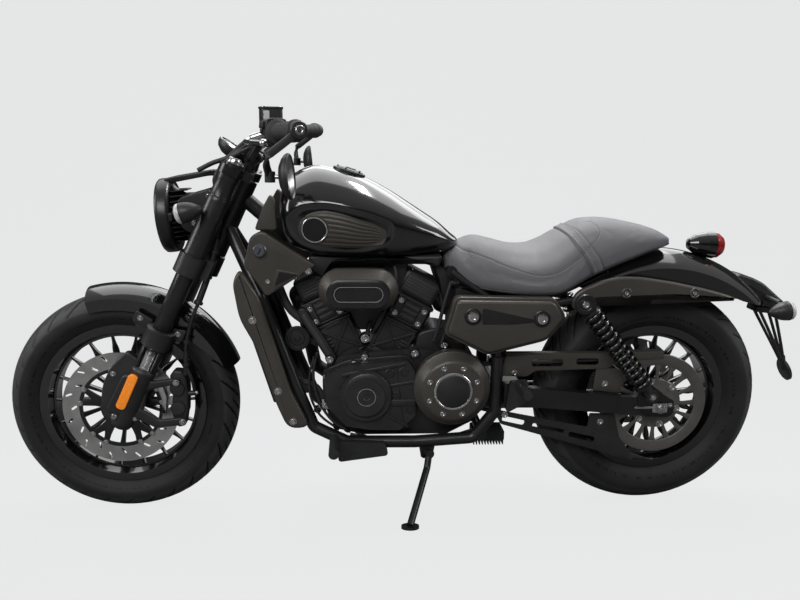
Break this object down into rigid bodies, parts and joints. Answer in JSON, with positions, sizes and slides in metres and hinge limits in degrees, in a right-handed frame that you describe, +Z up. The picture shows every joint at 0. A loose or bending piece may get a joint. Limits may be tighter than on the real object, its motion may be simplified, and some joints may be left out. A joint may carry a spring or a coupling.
{
  "type": "cruiser motorcycle",
  "caption": "Parked cruiser motorcycle on its side stand, with turning wheels, steering and a folding stand.",
  "frame": {"origin": "middle of the model's box, on the floor", "axes": "front of the motorcycle towards -X, its left side towards -Y, +Z up; it leans 12 degrees to its left on the side stand"},
  "size_m": [2.1285, 0.8872, 1.1029],
  "materials": {
    "gloss_black": "gloss",
    "satin_black": "satin",
    "bronze_grey": "satin",
    "cast_black": "satin black paint",
    "alloy_black": "gloss black paint",
    "polished_alloy": "polished",
    "disc_steel": "ground",
    "pulley_grey": "satin",
    "tyre_rubber": "matt",
    "grip_rubber": "matt",
    "belt_rubber": "matt",
    "leather": "matt",
    "black_plastic": "satin",
    "axle_steel": "satin",
    "amber": "gloss",
    "red_lens": "gloss",
    "clear_lens": "clear",
    "radiator_black": "matt",
    "exhaust_black": "matt heat paint"
  },
  "bodies": {
    "root": {"frame_cradle": "satin_black", "frame_backbone": "satin_black", "tank": "gloss_black", "seat": "leather", "rear_fender": "gloss_black", "fender_struts": "bronze_grey", "cylinders": "cast_black", "crankcase": "cast_black", "engine_covers": "cast_black", "pulley_cover": "bronze_grey", "intake": "black_plastic", "air_cleaner": "bronze_grey", "radiator": "radiator_black", "radiator_shroud": "bronze_grey", "neck_covers": "bronze_grey", "side_covers": "bronze_grey", "battery_box": "black_plastic", "exhaust": "exhaust_black", "swing_arm": "satin_black", "rear_axle": "axle_steel", "belt": "belt_rubber", "belt_guards": "bronze_grey", "shocks": "satin_black", "tail_lamp": "gloss_black", "tail_lens": "red_lens", "plate_holder": "black_plastic", "rear_indicators": "black_plastic", "rear_caliper": "cast_black", "foot_pegs": "cast_black", "regulator": "polished_alloy"},
    "steering": {"front_axle": "axle_steel", "fork_lowers": "cast_black", "fork_uppers": "satin_black", "lower_yoke": "cast_black", "top_yoke": "polished_alloy", "handlebar": "satin_black", "grips": "grip_rubber", "controls": "black_plastic", "levers": "polished_alloy", "mirrors": "black_plastic", "instrument": "black_plastic", "headlamp_shell": "black_plastic", "headlamp_lens": "clear_lens", "front_indicators": "black_plastic", "front_fender": "gloss_black", "front_caliper": "cast_black", "fork_reflectors": "amber"},
    "front_wheel": {"front_tyre": "tyre_rubber", "front_wheel": "alloy_black", "front_disc": "disc_steel"},
    "rear_wheel": {"rear_tyre": "tyre_rubber", "rear_wheel": "alloy_black", "rear_pulley": "pulley_grey", "rear_disc": "disc_steel"},
    "side_stand": {"side_stand": "satin_black"}
  },
  "joints": [
    {"name": "steering", "type": "hinge", "parent": "root", "child": "steering", "pos_m": [-0.54407, 0.05796, 0.63791], "axis": [0.4226, -0.1884, 0.8865], "range_deg": [-35, 35]},
    {"name": "front_wheel_spin", "type": "hinge", "parent": "steering", "child": "front_wheel", "pos_m": [-0.76532, 0.13103, 0.29417], "axis": [0, -0.9781, -0.2079], "continuous": true},
    {"name": "rear_wheel_spin", "type": "hinge", "parent": "root", "child": "rear_wheel", "pos_m": [0.65468, 0.12864, 0.30542], "axis": [0, -0.9781, -0.2079], "continuous": true},
    {"name": "side_stand", "type": "hinge", "parent": "root", "child": "side_stand", "pos_m": [0.04268, 0.02834, 0.15682], "axis": [0.3807, -0.9231, -0.0542], "range_deg": [0, 100]}
  ]
}
